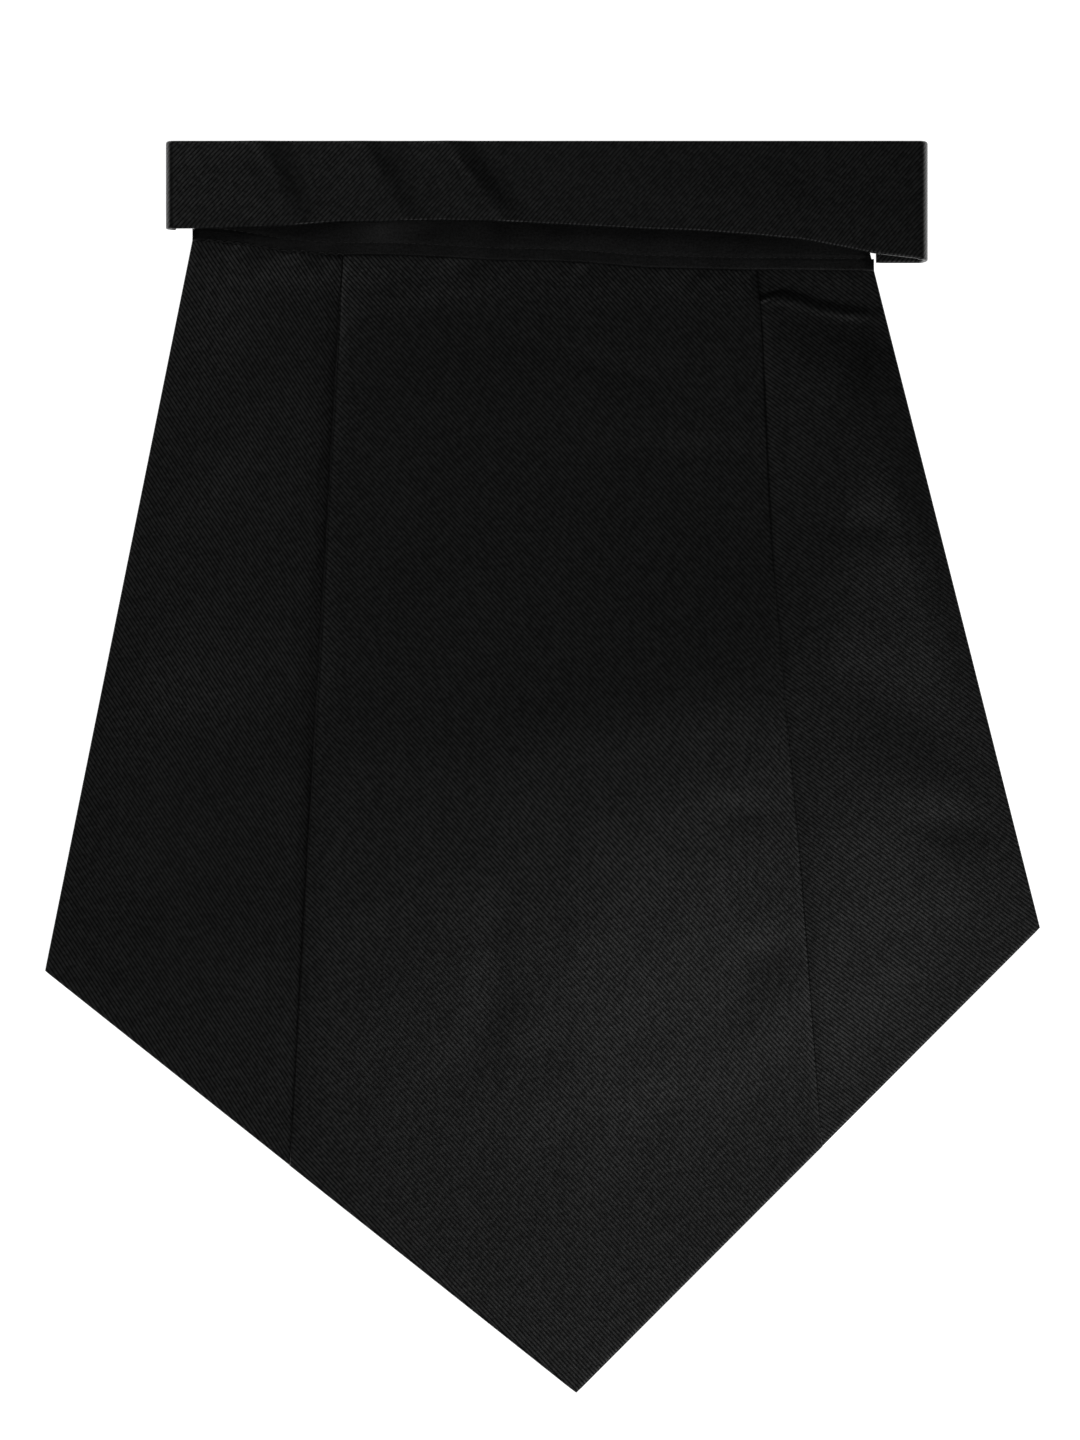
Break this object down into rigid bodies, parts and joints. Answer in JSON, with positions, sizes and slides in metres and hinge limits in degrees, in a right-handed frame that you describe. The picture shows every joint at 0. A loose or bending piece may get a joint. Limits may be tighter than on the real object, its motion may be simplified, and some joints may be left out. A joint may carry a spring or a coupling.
{
  "type": "pleated cravat",
  "caption": "Cravat that lies flat: a wide pleated blade with a pointed end hangs from a neckband whose tails are folded behind it, with a hook clasp.",
  "frame": {"origin": "centre of the bounding box's bottom face, on the surface that the cravat lies on", "axes": "+X across the cravat to the right as its front is seen, +Y up towards the neckband, +Z out of its front face"},
  "size_m": [0.159, 0.2004, 0.0062],
  "materials": {
    "twill": "black dress twill with a soft sheen",
    "satin": "smooth black satin",
    "hook_metal": "plain dull steel"
  },
  "bodies": {
    "root": {"blade": "twill", "lining": "satin", "neckband": "twill", "clasp": "hook_metal"}
  },
  "joints": []
}
